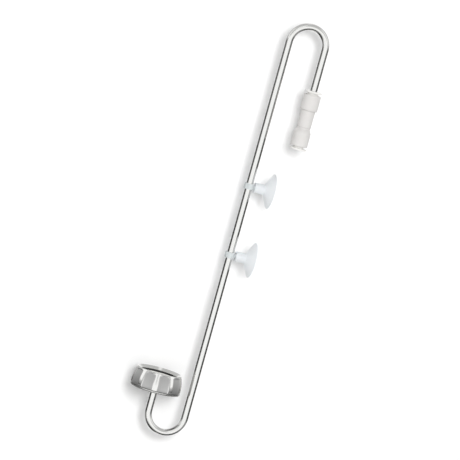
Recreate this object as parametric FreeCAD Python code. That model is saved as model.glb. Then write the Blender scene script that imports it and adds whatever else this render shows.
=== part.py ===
import FreeCAD, Part
import math
import os

from FreeCAD import Vector

os.makedirs("parts", exist_ok=True)

# Hang-on CO2 diffuser for a planted aquarium, in millimetres.
# The origin is the point where the hook rests on the top edge of the glass, in the middle of the hook.
# +Z is up along the straight tube, +X runs from the water side to the outside of the tank.

# ---- driving dimensions ----

# Bent gas tube
tube_od = 6.0
tube_wall = 1.0
bend_r = 16.0
straight_run = 331.5
head_leg_top_z = -322.4

# Suction cups and their clips
cup_zs = {"upper": -139.7, "lower": -200.2}
cup_standoff = 19.6
cup_rim_r = 15.0
cup_lip_w = 0.7
cup_lip_t = 0.35
cup_neck_r = 4.35
cup_neck_end = 6.2
cup_length = 15.0
cup_hollow_depth = 3.95
clip_band_h = 5.0
clip_band_r = 4.4
clip_mouth_half_deg = 27.0
clip_lip_r = 0.62
shank_r = 2.5
shank_end = 7.6
barb_r = 3.1
barb_length = 1.7

# Diffuser head: depths are measured down from its top edge
head_top_z = -309.8
rim_r = 19.3
rim_land_w = 0.3
waist_r = 21.3
waist_depth = 6.5
belly_r = 22.35
belly_depth = 13.0
skirt_r = 22.05
ring_height = 15.0
lip_r = 16.0
lip_depth = 2.0
lip_under = 2.4
flute_count = 10
flute_top_depth = 0.7
flute_foot_depth = 0.95
flute_cutter_r = 40.0
flute_top = 1.1
land_azimuth_deg = -104.0
disc_r = 17.5
disc_t = 3.0
upper_gasket_t = 1.5
lower_gasket_t = 1.0
gasket_w = 1.7
ring_bore_r = 17.8
bowl_rim_r = 17.6
chamber_r = 15.0
chamber_floor = 14.0
boss_r = 5.0
boss_top = 12.6
flange_r = 21.8
flange_top = 15.3
flange_round = 1.3
head_height = 17.0

# Thread between the bowl and the clamp ring
thread_pitch = 1.5
thread_turns = 3.0
thread_core_r = 18.3
thread_crest_r = 18.9
thread_root_r = 19.1
thread_tip_r = 18.5
thread_base_w = 0.8
thread_crest_w = 0.2
thread_top = 9.0
thread_start = 14.5

# Push-fit check valve: stations along a socket are measured inwards from its mouth
valve_mouth_z = -51.9
valve_length = 44.5
socket_r = 7.4
outlet_socket_length = 13.3
barrel_r = 6.0
barrel_end_z = -80.0
neck_r = 5.8
neck_length = 1.7
shoulder_length = 3.0
edge_chamfer = 0.35
tube_hole_r = 3.05
gas_way_r = 1.8
cage_bore_r = 6.2
cage_bore_depth = 7.0
seal_pocket_r = 5.2
seal_pocket_depth = 10.0
tube_stop_depth = 14.3

# Collet, guide ring, grab ring and tube seal of each socket
collet_standout = 3.2
collet_flange_t = 1.4
collet_flange_r = 7.2
collet_neck_r = 4.65
collet_lip_r = 5.2
collet_lip_start = 3.6
collet_end = 5.2
collet_slit_w = 0.7
collet_slit_count = 4
guide_bore_r = 4.75
guide_cage_r = 5.45
guide_step = 3.2
guide_end = 6.6
grab_ring_t = 0.3
grab_tooth_count = 10
grab_slot_w = 0.5
grab_slot_r = 4.8
tube_seal_mid_r = 4.12
tube_seal_wire_r = 1.05
tube_seal_depth = 8.5

# Poppet, its spring and the seals inside the valve
chamber_top_z = -68.6
spigot_r = 4.55
spigot_top_z = -76.4
valve_chamber_r = 4.6
joint_groove_r = 3.75
joint_groove_w = 1.0
joint_groove_z = -78.4
joint_seal_mid_r = 4.17
joint_seal_wire_r = 0.4
poppet_r = 4.5
poppet_face_z = -76.0
poppet_t = 1.6
poppet_notch_r = 1.6
poppet_notch_at = 4.9
poppet_notch_count = 4
stem_r = 1.2
stem_top_z = -70.3
nose_r = 1.1
nose_length = 2.5
seat_seal_r = 3.3
seat_seal_bore_r = 2.0
seat_seal_t = 0.8
seat_seal_inset = 0.45
spring_mid_r = 2.6
spring_wire_r = 0.22
spring_wire_sides = 8
spring_turns = 5.5

# Running and assembly gaps
fit_gap = 0.05
assembly_gap = 0.02

# ---- positions that follow from them ----

tube_r = tube_od / 2
tube_bore_r = tube_r - tube_wall
hook_arc_z = -(bend_r - tube_r)
jay_arc_z = hook_arc_z - straight_run
main_x = -bend_r
valve_x = bend_r
head_x = -3 * bend_r
glass_x = main_x + cup_standoff
valve_foot_z = valve_mouth_z - valve_length
tube_end_z = valve_mouth_z - tube_stop_depth + fit_gap
disc_top = lip_under + upper_gasket_t + 2 * fit_gap
disc_foot = disc_top + disc_t
seat_depth = disc_foot + lower_gasket_t


# ---- shape helpers ----

def edge_line(a, b):
    return Part.LineSegment(a, b).toShape()


def edge_arc(a, via, b):
    return Part.Arc(a, via, b).toShape()


def revolved(edges):
    """Turn a closed outline in the XZ plane about the Z axis."""
    face = Part.Face(Part.Wire(edges))
    return face.revolve(Vector(0, 0, 0), Vector(0, 0, 1), 360)


def turned(points):
    """Turn a closed polygon of (radius, height) points about the Z axis."""
    corners = [Vector(r, 0, z) for r, z in points]
    return revolved([edge_line(a, b) for a, b in zip(corners, corners[1:] + corners[:1])])


def disc(radius, z_low, z_high, x=0.0):
    return Part.makeCylinder(radius, z_high - z_low, Vector(x, 0, z_low))


def washer(r_in, r_out, z_low, z_high):
    return disc(r_out, z_low, z_high).cut(disc(r_in, z_low, z_high))


def around_z(shape, count, start_deg=0.0):
    """Copies of a shape evenly spaced about the Z axis."""
    copies = []
    for i in range(count):
        copy = shape.copy()
        copy.rotate(Vector(0, 0, 0), Vector(0, 0, 1), start_deg + 360.0 * i / count)
        copies.append(copy)
    return copies


def moved(shape, x=0.0, z=0.0):
    copy = shape.copy()
    copy.translate(Vector(x, 0, z))
    return copy


def helical_tooth(base_r, tip_r, z_start):
    """Trapezoid tooth wound up a right-hand helix, with its base sunk a little into the wall."""
    sink = fit_gap if base_r < tip_r else -fit_gap
    half_base = thread_base_w / 2
    half_tip = thread_crest_w / 2
    corners = [
        Vector(base_r - sink, 0, z_start - half_base),
        Vector(tip_r, 0, z_start - half_tip),
        Vector(tip_r, 0, z_start + half_tip),
        Vector(base_r - sink, 0, z_start + half_base),
    ]
    outline = Part.Wire([edge_line(a, b) for a, b in zip(corners, corners[1:] + corners[:1])])
    helix = Part.makeHelix(thread_pitch, thread_pitch * thread_turns, base_r)
    helix.translate(Vector(0, 0, z_start))
    return Part.Wire(helix).makePipeShell([outline], True, True)


def save(name, shape):
    shape.exportStep("parts/" + name + ".step")
    print(name, "valid" if shape.isValid() else "INVALID", len(shape.Solids), round(shape.Volume, 1))


# ---- gas tube: one length of steel tube with a hook bend at the top and a J bend at the foot ----

def tube_path():
    foot = jay_arc_z - bend_r
    crown = hook_arc_z + bend_r
    mid_jay = Vector((head_x + main_x) / 2, 0, foot)
    mid_hook = Vector((main_x + valve_x) / 2, 0, crown)
    stations = [
        Vector(head_x, 0, head_leg_top_z),
        Vector(head_x, 0, jay_arc_z),
        Vector(main_x, 0, jay_arc_z),
        Vector(main_x, 0, hook_arc_z),
        Vector(valve_x, 0, hook_arc_z),
        Vector(valve_x, 0, tube_end_z),
    ]
    return Part.Wire([
        edge_line(stations[0], stations[1]),
        edge_arc(stations[1], mid_jay, stations[2]),
        edge_line(stations[2], stations[3]),
        edge_arc(stations[3], mid_hook, stations[4]),
        edge_line(stations[4], stations[5]),
    ])


def swept_rod(path, radius):
    start = path.OrderedVertexes[0].Point
    section = Part.Face(Part.Wire(Part.makeCircle(radius, start, Vector(0, 0, 1))))
    return path.makePipe(section)


def gas_tube():
    path = tube_path()
    tube = swept_rod(path, tube_r).cut(swept_rod(path, tube_bore_r))
    ring_area = math.pi * (tube_r ** 2 - tube_bore_r ** 2)
    volume_ratio = round(tube.Volume / (ring_area * path.Length), 4)
    print("tube length", round(path.Length, 1), "volume ratio", volume_ratio)
    return tube


# ---- diffuser head: bowl, two gaskets, ceramic disc and the fluted clamp ring ----

def diffuser_bowl():
    """Turned steel bowl with the gas chamber, the seat for the disc and a male thread."""
    bore = tube_r + assembly_gap
    foot = -head_height
    round_at = Vector(flange_r - flange_round, 0, foot + flange_round)
    slant = flange_round * math.sqrt(0.5)
    outline = [
        Vector(bore, 0, foot),
        Vector(flange_r - flange_round, 0, foot),
        Vector(flange_r, 0, foot + flange_round),
        Vector(flange_r, 0, -flange_top),
        Vector(thread_core_r, 0, -flange_top),
        Vector(thread_core_r, 0, -thread_top),
        Vector(bowl_rim_r, 0, -thread_top),
        Vector(bowl_rim_r, 0, -seat_depth),
        Vector(chamber_r, 0, -seat_depth),
        Vector(chamber_r, 0, -chamber_floor),
        Vector(boss_r, 0, -chamber_floor),
        Vector(boss_r, 0, -boss_top),
        Vector(bore, 0, -boss_top),
    ]
    edges = [edge_line(a, b) for a, b in zip(outline, outline[1:] + outline[:1])]
    edges[1] = edge_arc(outline[1], round_at + Vector(slant, 0, -slant), outline[2])
    body = revolved(edges)
    return body.fuse(helical_tooth(thread_core_r, thread_crest_r, -thread_start))


def ring_wall_arc():
    """The clamp ring's outer wall, bulging towards its foot."""
    return edge_arc(
        Vector(rim_r, 0, -rim_land_w),
        Vector(waist_r, 0, -waist_depth),
        Vector(belly_r, 0, -belly_depth),
    )


def flute_cutter():
    """Round bar bent along the outer wall, sunk into it by a depth that grows towards the foot."""
    wall = ring_wall_arc().Curve
    flute_foot = ring_height + flute_top

    def on_track(share):
        depth = flute_top + (flute_foot - flute_top) * share
        cut = flute_top_depth + (flute_foot_depth - flute_top_depth) * share
        rise = -depth - wall.Center.z
        spoke = Vector(math.sqrt(wall.Radius ** 2 - rise ** 2), 0, rise)
        return wall.Center + spoke * ((wall.Radius + flute_cutter_r - cut) / wall.Radius)

    top = on_track(0)
    track = Part.Wire([edge_arc(top, on_track(0.5), on_track(1))])
    spoke = (top - wall.Center).normalize()
    along = spoke.cross(Vector(0, 1, 0))
    section = Part.Face(Part.Wire(Part.makeCircle(flute_cutter_r, top, along)))
    return track.makePipe(section)


def clamp_ring():
    """Steel ring that screws down over the disc: funnel lip, female thread and shallow flutes outside."""
    top_inner = Vector(rim_r - 2 * rim_land_w, 0, 0)
    top_outer = Vector(rim_r - rim_land_w, 0, 0)
    skirt_foot = Vector(skirt_r, 0, -ring_height)
    inside = [
        skirt_foot,
        Vector(thread_root_r, 0, -ring_height),
        Vector(thread_root_r, 0, -(thread_top - 2 * fit_gap)),
        Vector(ring_bore_r, 0, -(thread_top - 2 * fit_gap)),
        Vector(ring_bore_r, 0, -lip_under),
        Vector(lip_r, 0, -lip_under),
        Vector(lip_r, 0, -lip_depth),
        top_inner,
        top_outer,
        Vector(rim_r, 0, -rim_land_w),
    ]
    edges = [ring_wall_arc(), edge_line(Vector(belly_r, 0, -belly_depth), skirt_foot)]
    edges += [edge_line(a, b) for a, b in zip(inside, inside[1:])]
    body = revolved(edges)
    body = body.fuse(helical_tooth(thread_root_r, thread_tip_r, thread_pitch / 2 - thread_start))
    half_pitch_deg = 180.0 / flute_count
    return body.cut(around_z(flute_cutter(), flute_count, land_azimuth_deg + half_pitch_deg))


def ceramic_disc():
    edge = 0.3
    return turned([
        (0, -disc_foot), (disc_r - edge, -disc_foot), (disc_r, edge - disc_foot),
        (disc_r, -disc_top - edge), (disc_r - edge, -disc_top), (0, -disc_top),
    ])


def head_pieces():
    upper_top = -(lip_under + fit_gap)
    return {
        "diffuser_bowl": diffuser_bowl(),
        "lower_gasket": washer(disc_r - gasket_w, disc_r, -seat_depth, -disc_foot),
        "ceramic_disc": ceramic_disc(),
        "upper_gasket": washer(disc_r - gasket_w, disc_r, upper_top - upper_gasket_t, upper_top),
        "clamp_ring": clamp_ring(),
    }


# ---- tube clips and suction cups, modelled along +X with the glass plane at X = 0 ----

def tube_clip():
    """Springy C band round the tube, open away from the glass, with a barbed shank for the cup."""
    tube_axis = -cup_standoff
    half_h = clip_band_h / 2
    band = Part.makeCylinder(clip_band_r, clip_band_h, Vector(tube_axis, 0, -half_h))
    shank_start = tube_axis + tube_r + fit_gap
    along_x = Vector(1, 0, 0)
    shank = Part.makeCylinder(shank_r, -shank_end - shank_start, Vector(shank_start, 0, 0), along_x)
    barb = Part.makeCone(barb_r, shank_r, barb_length, Vector(-shank_end - barb_length, 0, 0), along_x)
    reach = 2 * clip_band_r
    mouth = Part.makePolygon([
        Vector(tube_axis, 0, -half_h),
        Vector(tube_axis - reach, reach * math.tan(math.radians(clip_mouth_half_deg)), -half_h),
        Vector(tube_axis - reach, -reach * math.tan(math.radians(clip_mouth_half_deg)), -half_h),
        Vector(tube_axis, 0, -half_h),
    ])
    mouth = Part.Face(mouth).extrude(Vector(0, 0, clip_band_h))
    clip = band.fuse([shank, barb]).cut(mouth)
    lip_at = (clip_band_r + tube_r + fit_gap) / 2
    lip_angle = math.radians(180 - clip_mouth_half_deg)
    for side in (-1, 1):
        lip_x = tube_axis + lip_at * math.cos(lip_angle)
        place = Vector(lip_x, side * lip_at * math.sin(lip_angle), -half_h)
        clip = clip.fuse(Part.makeCylinder(clip_lip_r, clip_band_h, place))
    bore = Part.makeCylinder(tube_r + fit_gap, clip_band_h, Vector(tube_axis, 0, -half_h))
    return clip.cut(bore).removeSplitter()


def suction_cup():
    """Soft cup: a sleeve over the clip's shank, a flared skirt and a thin rim that lies on the glass."""
    sleeve_r = shank_r + fit_gap
    pocket_r = barb_r + fit_gap
    pocket_end = shank_end - 4 * fit_gap
    pocket_start = shank_end + barb_length + 2 * fit_gap
    inner_rim_r = cup_rim_r - cup_lip_w
    ball_r = (inner_rim_r ** 2 + cup_hollow_depth ** 2) / (2 * cup_hollow_depth)
    cup = turned([
        (0, 0), (0, -pocket_end),
        (pocket_r, -pocket_end), (pocket_r, -pocket_start), (sleeve_r, -pocket_start),
        (sleeve_r, -cup_length), (cup_neck_r, -cup_length), (cup_neck_r, -cup_neck_end),
        (inner_rim_r, -2 * cup_lip_t), (cup_rim_r, -cup_lip_t), (cup_rim_r, 0),
    ])
    ball = Part.makeSphere(ball_r, Vector(0, 0, ball_r - cup_hollow_depth), Vector(0, 1, 0))
    cup = cup.cut(ball)
    cup.rotate(Vector(0, 0, 0), Vector(0, 1, 0), 90)
    return cup


# ---- check valve, modelled about the Z axis ----

def socket_bore():
    """Stepped hole of one push-fit socket as a solid, with its mouth at Z = 0 and going down."""
    return turned([
        (0, 0), (cage_bore_r, 0), (cage_bore_r, -cage_bore_depth), (seal_pocket_r, -cage_bore_depth),
        (seal_pocket_r, -seal_pocket_depth), (tube_hole_r, -seal_pocket_depth),
        (tube_hole_r, -tube_stop_depth), (0, -tube_stop_depth),
    ])


def flipped(shape):
    """The same shape turned end for end about the X axis."""
    copy = shape.copy()
    copy.rotate(Vector(0, 0, 0), Vector(1, 0, 0), 180)
    return copy


def outlet_body():
    """Half that holds the steel tube, with the chamber in which the poppet works."""
    step_z = valve_mouth_z - outlet_socket_length
    shell = turned([
        (0, valve_mouth_z),
        (socket_r - edge_chamfer, valve_mouth_z), (socket_r, valve_mouth_z - edge_chamfer),
        (socket_r, step_z + edge_chamfer), (socket_r - edge_chamfer, step_z), (barrel_r, step_z),
        (barrel_r, barrel_end_z), (0, barrel_end_z),
    ])
    hollow = [
        moved(socket_bore(), z=valve_mouth_z),
        disc(gas_way_r, chamber_top_z, valve_mouth_z - tube_stop_depth),
        disc(valve_chamber_r, barrel_end_z, chamber_top_z),
    ]
    return shell.cut(hollow)


def inlet_body():
    """Half that takes the hose, with the spigot whose end is the poppet's seat."""
    neck_foot = barrel_end_z - neck_length
    shoulder_foot = neck_foot - shoulder_length
    shell = turned([
        (0, spigot_top_z), (spigot_r, spigot_top_z), (spigot_r, barrel_end_z - assembly_gap),
        (neck_r, barrel_end_z - assembly_gap), (neck_r, neck_foot), (socket_r, shoulder_foot),
        (socket_r, valve_foot_z + edge_chamfer), (socket_r - edge_chamfer, valve_foot_z), (0, valve_foot_z),
    ])
    groove_low = joint_groove_z - joint_groove_w / 2
    hollow = [
        moved(flipped(socket_bore()), z=valve_foot_z),
        disc(gas_way_r, valve_foot_z + tube_stop_depth, spigot_top_z),
        washer(joint_groove_r, spigot_r, groove_low, groove_low + joint_groove_w),
    ]
    return shell.cut(hollow)


def collet():
    """Release sleeve: a flange to press and a neck that ends in slit fingers with a small lip."""
    flange_foot = collet_standout - collet_flange_t
    sleeve = turned([
        (tube_hole_r, collet_standout), (collet_flange_r - edge_chamfer, collet_standout),
        (collet_flange_r, collet_standout - edge_chamfer), (collet_flange_r, flange_foot),
        (collet_neck_r, flange_foot), (collet_neck_r, -collet_lip_start + edge_chamfer),
        (collet_lip_r, -collet_lip_start), (collet_lip_r, -collet_lip_start - edge_chamfer),
        (collet_neck_r, -collet_end), (tube_hole_r, -collet_end),
    ])
    slit_h = collet_end - collet_slit_w
    slit = Part.makeBox(collet_flange_r, collet_slit_w, slit_h, Vector(0, -collet_slit_w / 2, -collet_end))
    return sleeve.cut(around_z(slit, collet_slit_count))


def guide_ring():
    """Plastic cage pressed into the socket's mouth that carries the collet."""
    outer = cage_bore_r - assembly_gap
    return turned([
        (guide_bore_r, -edge_chamfer), (outer, -edge_chamfer), (outer, -guide_end),
        (guide_cage_r, -guide_end), (guide_cage_r, -guide_step), (guide_bore_r, -guide_step),
    ])


def grab_ring():
    """Thin steel washer with teeth that bite the tube or the hose."""
    top = -guide_end - fit_gap
    ring = washer(tube_hole_r, cage_bore_r - assembly_gap, top - grab_ring_t, top)
    slot_corner = Vector(0, -grab_slot_w / 2, top - grab_ring_t)
    slot = Part.makeBox(grab_slot_r, grab_slot_w, grab_ring_t, slot_corner)
    return ring.cut(around_z(slot, grab_tooth_count))


def tube_seal():
    return Part.makeTorus(tube_seal_mid_r, tube_seal_wire_r, Vector(0, 0, -tube_seal_depth))


def poppet():
    """Plunger with a guided, notched head, a stem for the spring and a nose in the gas way."""
    top = poppet_face_z + poppet_t
    head = disc(poppet_r, poppet_face_z, top)
    notch = disc(poppet_notch_r, poppet_face_z, top, x=poppet_notch_at)
    groove = washer(
        seat_seal_bore_r - assembly_gap, seat_seal_r + assembly_gap,
        poppet_face_z, poppet_face_z + seat_seal_inset,
    )
    head = head.cut(around_z(notch, poppet_notch_count) + [groove])
    stem = disc(stem_r, top, stem_top_z)
    nose = disc(nose_r, poppet_face_z - nose_length, poppet_face_z)
    return head.fuse([stem, nose]).removeSplitter()


def poppet_spring():
    """Closed steel coil between the poppet's head and the top of the chamber."""
    low = poppet_face_z + poppet_t + spring_wire_r + assembly_gap
    high = chamber_top_z - spring_wire_r - assembly_gap
    helix = Part.makeHelix((high - low) / spring_turns, high - low, spring_mid_r)
    helix.translate(Vector(0, 0, low))
    centre = Vector(spring_mid_r, 0, low)
    turns = [2 * math.pi * i / spring_wire_sides for i in range(spring_wire_sides + 1)]
    wire = Part.makePolygon([centre + Vector(math.cos(t), 0, math.sin(t)) * spring_wire_r for t in turns])
    return Part.Wire(helix).makePipeShell([wire], True, True)


def valve_pieces():
    seal_top = poppet_face_z + seat_seal_inset
    pieces = {
        "valve_outlet_body": outlet_body(),
        "valve_inlet_body": inlet_body(),
        "valve_joint_seal": Part.makeTorus(
            joint_seal_mid_r, joint_seal_wire_r, Vector(0, 0, joint_groove_z)),
        "poppet": poppet(),
        "poppet_seal": washer(seat_seal_bore_r, seat_seal_r, seal_top - seat_seal_t, seal_top),
        "poppet_spring": poppet_spring(),
    }
    for name, make in (("collet", collet), ("guide_ring", guide_ring), ("grab_ring", grab_ring),
                       ("tube_seal", tube_seal)):
        pieces["outlet_" + name] = moved(make(), z=valve_mouth_z)
        pieces["inlet_" + name] = moved(flipped(make()), z=valve_foot_z)
    return pieces


# ---- every piece in its place ----

save("gas_tube", gas_tube())
for name, shape in head_pieces().items():
    save(name, moved(shape, x=head_x, z=head_top_z))
for place, height in cup_zs.items():
    save(place + "_tube_clip", moved(tube_clip(), x=glass_x, z=height))
    save(place + "_suction_cup", moved(suction_cup(), x=glass_x, z=height))
for name, shape in valve_pieces().items():
    save(name, moved(shape, x=valve_x))
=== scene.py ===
import math

import bmesh
import bpy
from mathutils import Matrix, Quaternion, Vector


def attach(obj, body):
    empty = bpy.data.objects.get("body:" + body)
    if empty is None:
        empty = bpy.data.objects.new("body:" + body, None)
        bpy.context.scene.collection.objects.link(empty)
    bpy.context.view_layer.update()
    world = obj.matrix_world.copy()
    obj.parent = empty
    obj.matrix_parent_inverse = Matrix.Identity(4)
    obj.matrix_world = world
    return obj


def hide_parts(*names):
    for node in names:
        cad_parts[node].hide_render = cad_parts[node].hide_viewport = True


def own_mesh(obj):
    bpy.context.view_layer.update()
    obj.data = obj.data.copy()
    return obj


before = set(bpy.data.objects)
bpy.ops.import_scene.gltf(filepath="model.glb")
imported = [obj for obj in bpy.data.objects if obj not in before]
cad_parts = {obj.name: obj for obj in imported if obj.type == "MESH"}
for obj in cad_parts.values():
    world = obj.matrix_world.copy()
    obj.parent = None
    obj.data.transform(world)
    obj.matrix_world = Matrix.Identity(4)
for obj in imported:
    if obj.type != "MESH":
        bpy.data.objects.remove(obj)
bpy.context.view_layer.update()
scene = bpy.context.scene

# ---- camera ----
# A long lens, level with the upper suction cup's foot and a little to the water side of square on.
# It is rolled, so that the diffuser leans to the right as it would lie on a table top.

camera_target = Vector((-0.0218, 0.0, -0.1797))
camera_distance = 3.0
camera_azimuth = math.radians(-14.0)
camera_elevation = math.radians(5.7)
camera_roll = math.radians(15.5)
camera_lens_mm = 278.6

to_camera = Vector((
    math.sin(camera_azimuth) * math.cos(camera_elevation),
    -math.cos(camera_azimuth) * math.cos(camera_elevation),
    math.sin(camera_elevation),
))
camera_data = bpy.data.cameras.new("camera")
camera_data.lens = camera_lens_mm
camera = bpy.data.objects.new("camera", camera_data)
camera.location = camera_target + to_camera * camera_distance
camera.rotation_mode = "QUATERNION"
camera.rotation_quaternion = (-to_camera).to_track_quat("-Z", "Y") @ Quaternion((0, 0, 1), camera_roll)
scene.collection.objects.link(camera)
scene.camera = camera

# ---- gas tube ----
# One length of 6 mm stainless tube with a 1 mm wall, bent cold into a hook at the top and a J at the foot.
# It is drawn through a die, which leaves faint lines along it, and then polished bright.

MM = 0.001
tube_radius = 3.0 * MM
tube_wall = 1.0 * MM
tube_sides = 72
bend_radius = 16.0 * MM
bend_steps = 60
head_x = -48.0 * MM
main_x = -16.0 * MM
valve_x = 16.0 * MM
hook_z = -13.0 * MM
jay_z = -344.5 * MM
head_end_z = -322.4 * MM
valve_end_z = -66.15 * MM
end_step = 0.25 * MM
draw_line_width = 0.35 * MM
draw_line_length = 45.0 * MM
handling_mark_size = 30.0 * MM


def linear(code):
    """An sRGB hex colour as the linear colour that a socket takes."""
    shares = [int(code[i:i + 2], 16) / 255 for i in (1, 3, 5)]
    return (*[c / 12.92 if c <= 0.04045 else ((c + 0.055) / 1.055) ** 2.4 for c in shares], 1.0)


def add(tree, kind, inputs=None, **settings):
    """Add a node; each input takes a value, a socket, or a node for its first output."""
    node = tree.nodes.new(kind)
    for name, value in settings.items():
        setattr(node, name, value)
    for key, value in (inputs or {}).items():
        if isinstance(value, bpy.types.Node):
            value = value.outputs[0]
        if isinstance(value, bpy.types.NodeSocket):
            tree.links.new(value, node.inputs[key])
        else:
            node.inputs[key].default_value = value
    return node


def bare_finish(name):
    """A new material with an empty node tree, and that tree."""
    made = bpy.data.materials.new(name)
    made.use_nodes = True
    made.node_tree.nodes.clear()
    return made, made.node_tree


def shape_tree(name, sizes):
    """A geometry node tree with a named input for each size, and its input node."""
    tree = bpy.data.node_groups.new(name, "GeometryNodeTree")
    tree.interface.new_socket("Geometry", in_out="INPUT", socket_type="NodeSocketGeometry")
    kinds = {int: "NodeSocketInt", float: "NodeSocketFloat", bpy.types.Material: "NodeSocketMaterial"}
    for key, value in sizes.items():
        tree.interface.new_socket(key, in_out="INPUT", socket_type=kinds[type(value)])
    tree.interface.new_socket("Geometry", in_out="OUTPUT", socket_type="NodeSocketGeometry")
    return tree, add(tree, "NodeGroupInput")


def close_tree(tree, shape, given):
    """End a tree as plain geometry in the given finish."""
    plain = add(tree, "GeometryNodeRealizeInstances", {"Geometry": shape})
    coated = add(tree, "GeometryNodeSetMaterial", {"Geometry": plain, "Material": given.outputs["Finish"]})
    add(tree, "NodeGroupOutput", {"Geometry": coated})


def grown(name, host, tree, sizes):
    """The plain mesh that a node tree with these sizes makes from a host mesh."""
    seed = bpy.data.objects.new(name + "_seed", host)
    scene.collection.objects.link(seed)
    modifier = seed.modifiers.new(tree.name, "NODES")
    modifier.node_group = tree
    for item in tree.interface.items_tree:
        if item.in_out == "INPUT" and item.name in sizes:
            modifier[item.identifier] = sizes[item.name]
    graph = bpy.context.evaluated_depsgraph_get()
    mesh = bpy.data.meshes.new_from_object(
        seed.evaluated_get(graph), preserve_all_data_layers=True, depsgraph=graph)
    seed.modifiers.clear()
    bpy.data.objects.remove(seed)
    mesh.name = name
    return mesh


def fitted(name, mesh, finish, slot, body, *cad_nodes):
    """Put a finished mesh in the scene on its body, in place of the CAD nodes it stands for."""
    piece = bpy.data.objects.new(name, mesh)
    scene.collection.objects.link(piece)
    if not mesh.materials:
        mesh.materials.append(finish)
    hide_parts(*cad_nodes)
    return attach(piece, body)


def arc(centre_x, centre_z, from_deg, to_deg):
    """Points of a tube bend in the plane of the tube."""
    turns = [math.radians(from_deg + (to_deg - from_deg) * i / bend_steps) for i in range(bend_steps + 1)]
    return [(centre_x + bend_radius * math.cos(t), 0, centre_z + bend_radius * math.sin(t)) for t in turns]


# Bright drawn stainless steel: a sharp mirror across the tube, a little softer where draw lines lie close.
bright_drawn_stainless, tree = bare_finish("bright_drawn_stainless")
unbent = add(tree, "ShaderNodeAttribute", attribute_name="unbent").outputs["Vector"]
stretched = add(tree, "ShaderNodeMapping", {
    "Vector": unbent, "Scale": (1, 1, draw_line_width / draw_line_length)})
draw_lines = add(tree, "ShaderNodeTexNoise", {
    "Vector": stretched, "Scale": 1 / draw_line_width, "Detail": 3.0, "Roughness": 0.6})
marks = add(tree, "ShaderNodeTexNoise", {"Vector": unbent, "Scale": 1 / handling_mark_size, "Detail": 2.0})
line_rough = add(tree, "ShaderNodeMapRange", {
    "Value": draw_lines, "From Min": 0.35, "From Max": 0.7, "To Min": 0.09, "To Max": 0.17})
rough = add(tree, "ShaderNodeMath", {0: marks, 1: 0.06, 2: line_rough}, operation="MULTIPLY_ADD")
bump = add(tree, "ShaderNodeBump", {"Height": draw_lines, "Strength": 0.12, "Distance": 0.02 * MM})
skin = add(tree, "ShaderNodeBsdfPrincipled", {
    "Base Color": linear("#DCDCDA"), "Metallic": 1.0, "Roughness": rough, "Normal": bump})
add(tree, "ShaderNodeOutputMaterial", {"Surface": skin})

# The centre line is swept with a round section; "unbent" holds each point's place on the tube before
# bending. A short first and last step keep the cut ends' shading off the straight legs.
centre_line = (
    [(head_x, 0, head_end_z), (head_x, 0, head_end_z - end_step)]
    + arc((head_x + main_x) / 2, jay_z, 180, 360) + arc((main_x + valve_x) / 2, hook_z, 180, 0)
    + [(valve_x, 0, valve_end_z + end_step), (valve_x, 0, valve_end_z)])
line_mesh = bpy.data.meshes.new("tube_centre_line")
line_mesh.from_pydata(centre_line, [(i, i + 1) for i in range(len(centre_line) - 1)], [])
tube_sizes = {"Radius": tube_radius, "Sides": tube_sides, "Finish": bright_drawn_stainless}
tree, given = shape_tree("bent_tube", tube_sizes)
line = add(tree, "GeometryNodeMeshToCurve", {"Mesh": given.outputs["Geometry"]})
along = add(tree, "GeometryNodeSplineParameter").outputs["Length"]
line = add(tree, "GeometryNodeStoreNamedAttribute", {
    "Geometry": line, "Name": "along", "Value": along}, data_type="FLOAT", domain="POINT")
section = add(tree, "GeometryNodeCurvePrimitiveCircle", {
    "Resolution": given.outputs["Sides"], "Radius": given.outputs["Radius"]}, mode="RADIUS")
section = add(tree, "GeometryNodeStoreNamedAttribute", {
    "Geometry": section, "Name": "around", "Value": add(tree, "GeometryNodeInputPosition")},
    data_type="FLOAT_VECTOR", domain="POINT")
swept = add(tree, "GeometryNodeCurveToMesh", {"Curve": line, "Profile Curve": section})
around = add(tree, "ShaderNodeSeparateXYZ", {
    "Vector": add(tree, "GeometryNodeInputNamedAttribute", {"Name": "around"}, data_type="FLOAT_VECTOR")})
unbent = add(tree, "ShaderNodeCombineXYZ", {
    "X": around.outputs["X"], "Y": around.outputs["Y"],
    "Z": add(tree, "GeometryNodeInputNamedAttribute", {"Name": "along"}, data_type="FLOAT")})
swept = add(tree, "GeometryNodeStoreNamedAttribute", {
    "Geometry": swept, "Name": "unbent", "Value": unbent}, data_type="FLOAT_VECTOR", domain="POINT")
close_tree(tree, add(tree, "GeometryNodeSetShadeSmooth", {"Geometry": swept}), given)
gas_tube = fitted(
    "gas_tube_bent", grown("gas_tube_bent", line_mesh, tree, tube_sizes), bright_drawn_stainless,
    "polished_steel", "tube", "gas_tube")
wall = gas_tube.modifiers.new("tube_wall", "SOLIDIFY")
wall.thickness = tube_wall
wall.offset = -1.0

# ---- diffuser bowl ----
# A turned stainless cup that holds the gas under the disc, with a male thread outside and a rounded flange.
# The tube is silver brazed into its boss, which leaves a small fillet round the tube under the bowl.

head_top_z = -309.8 * MM
thread_pitch = 1.5 * MM
thread_turns = 3
thread_base_w = 0.8 * MM
thread_crest_w = 0.2 * MM
bowl_thread_start_z = head_top_z - 14.5 * MM
bowl_crest_radius = 18.9 * MM
lathe_mark_width = 0.18 * MM
on_head_axis = Matrix.Translation((head_x, 0, 0))


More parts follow.
